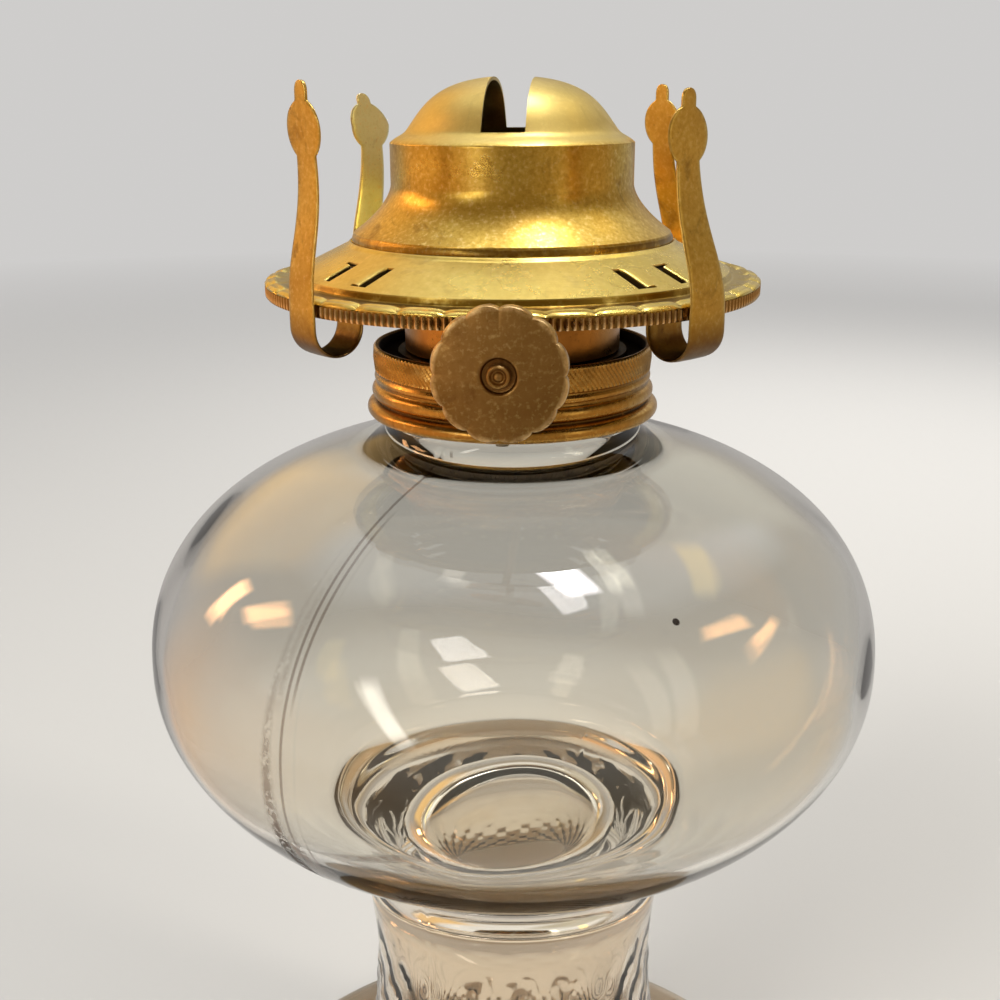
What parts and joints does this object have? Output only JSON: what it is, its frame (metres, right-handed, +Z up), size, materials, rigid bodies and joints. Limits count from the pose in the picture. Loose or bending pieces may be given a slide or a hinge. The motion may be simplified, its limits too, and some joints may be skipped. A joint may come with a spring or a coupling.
{
  "type": "kerosene lamp",
  "caption": "Table oil lamp: clear pressed-glass font on a hollow stem and round foot, screw collar, and a flat-wick burner with dome, gallery, spring prongs and a thumb wheel.",
  "frame": {"origin": "middle of the foot, on the surface the lamp stands on", "axes": "+Z up along the lamp's axis; -Y is the front, where the thumb wheel's shaft points; +X is to the right seen from the front; the flame slot runs along Y"},
  "size_m": [0.1212, 0.1212, 0.2085],
  "materials": {
    "clear_glass": "clear pressed glass with a warm tint",
    "collar_brass": "dull golden",
    "plaster": "matt",
    "old_brass": "brown with age",
    "burner_brass": "olive gold with stains",
    "prong_brass": "orange brown, satin",
    "wheel_brass": "brown with bright worn edges",
    "steel": "dull",
    "cotton": "woven"
  },
  "bodies": {
    "lamp": {"lamp_glass": "clear_glass", "collar": "collar_brass", "collar_plaster": "plaster"},
    "screw_shell": {"thread_shell": "old_brass"},
    "burner": {"burner_cup": "old_brass", "air_basket": "old_brass", "wick_tube": "old_brass", "ratchet_box": "old_brass", "vent_tube": "old_brass", "shaft_bush": "old_brass", "gallery": "burner_brass", "dome": "burner_brass"},
    "raiser": {"raiser_shaft": "wheel_brass", "thumb_wheel": "wheel_brass", "spur_wheel_front": "steel", "spur_wheel_middle": "steel", "spur_wheel_rear": "steel"},
    "wick": {"wick": "cotton"},
    "prong_front_left": {"prong_front_left": "prong_brass"},
    "prong_front_right": {"prong_front_right": "prong_brass"},
    "prong_rear_left": {"prong_rear_left": "prong_brass"},
    "prong_rear_right": {"prong_rear_right": "prong_brass"}
  },
  "joints": [
    {"name": "burner_rise", "type": "slide", "parent": "lamp", "child": "screw_shell", "axis": [0, 0, 1], "range_m": [0, 0.0047]},
    {"name": "burner_turn", "type": "hinge", "parent": "screw_shell", "child": "burner", "pos_m": [0, 0, 0.1663], "axis": [0, 0, 1], "range_deg": [0, 720]},
    {"name": "raiser_turn", "type": "hinge", "parent": "burner", "child": "raiser", "pos_m": [0.00345, 0, 0.1721], "axis": [0, 1, 0], "range_deg": [-275, 160]},
    {"name": "wick_slide", "type": "slide", "parent": "burner", "child": "wick", "axis": [0, 0, 1], "range_m": [-0.0125, 0.0073]},
    {"name": "prong_front_left_flex", "type": "hinge", "parent": "burner", "child": "prong_front_left", "pos_m": [-0.01903, -0.02135, 0.1807], "axis": [0.7466, -0.6652, 0], "range_deg": [0, 5.5], "stiffness_Nm_per_rad": 1},
    {"name": "prong_front_right_flex", "type": "hinge", "parent": "burner", "child": "prong_front_right", "pos_m": [0.02135, -0.01903, 0.1807], "axis": [0.6652, 0.7466, 0], "range_deg": [0, 5.5], "stiffness_Nm_per_rad": 1},
    {"name": "prong_rear_left_flex", "type": "hinge", "parent": "burner", "child": "prong_rear_left", "pos_m": [-0.02135, 0.01903, 0.1807], "axis": [-0.6652, -0.7466, 0], "range_deg": [0, 5.5], "stiffness_Nm_per_rad": 1},
    {"name": "prong_rear_right_flex", "type": "hinge", "parent": "burner", "child": "prong_rear_right", "pos_m": [0.01903, 0.02135, 0.1807], "axis": [-0.7466, 0.6652, 0], "range_deg": [0, 5.5], "stiffness_Nm_per_rad": 1}
  ],
  "couplings": [
    {"joint": "burner_rise", "follows": "burner_turn", "m_per_rad": 0.000366},
    {"joint": "wick_slide", "follows": "raiser_turn", "m_per_rad": 0.0026}
  ]
}
